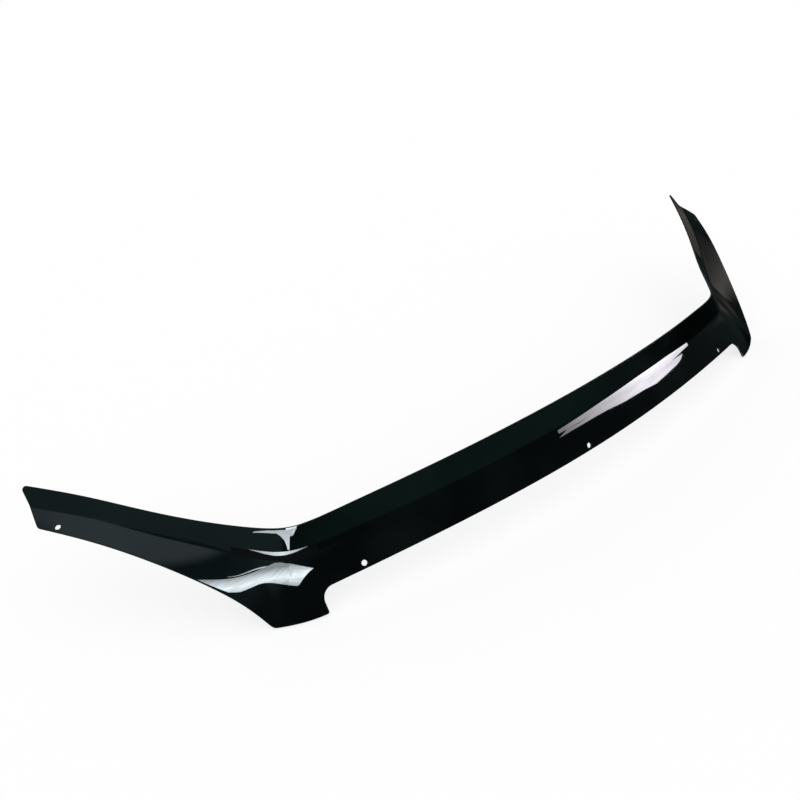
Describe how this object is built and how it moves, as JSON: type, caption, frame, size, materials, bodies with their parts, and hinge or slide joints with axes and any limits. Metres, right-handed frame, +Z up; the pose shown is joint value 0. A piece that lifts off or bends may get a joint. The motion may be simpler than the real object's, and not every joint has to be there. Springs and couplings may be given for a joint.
{
  "type": "hood deflector",
  "caption": "Bowed blade of gloss tinted acrylic with an upturned lip and swept wings, made to stand on the front edge of a vehicle hood and throw insects and stones clear.",
  "frame": {"origin": "centre of the middle mounting hole, on the front face of the sheet", "axes": "+X across the vehicle, +Y towards its rear, +Z up; the part is mirrored about X = 0"},
  "size_m": [1.402, 0.3923, 0.1597],
  "materials": {
    "acrylic": "gloss"
  },
  "bodies": {
    "root": {"deflector": "acrylic"}
  },
  "joints": []
}
